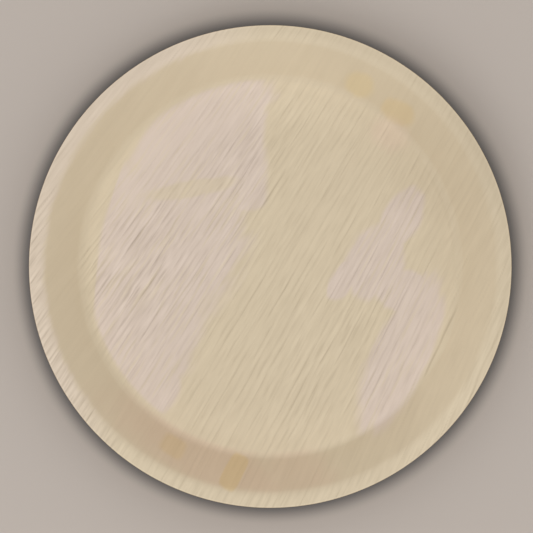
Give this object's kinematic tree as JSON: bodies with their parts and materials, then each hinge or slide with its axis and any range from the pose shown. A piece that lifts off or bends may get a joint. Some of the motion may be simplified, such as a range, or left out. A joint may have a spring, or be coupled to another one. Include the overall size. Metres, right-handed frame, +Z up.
{
  "type": "palm leaf plate",
  "caption": "Round dinner plate pressed from one areca palm leaf sheath, with a flat floor, a sloping wall, a rolled rim and fine grooves between the veins.",
  "frame": {"origin": "centre of the underside of the floor", "axes": "+Z up, +Y along the leaf's veins, towards the end where they close up; +X across them"},
  "size_m": [0.254, 0.254, 0.025],
  "materials": {
    "leaf": "pressed areca leaf sheath, satin, with straight vein lines in cream and pinkish beige"
  },
  "bodies": {
    "root": {"plate": "leaf"}
  },
  "joints": []
}
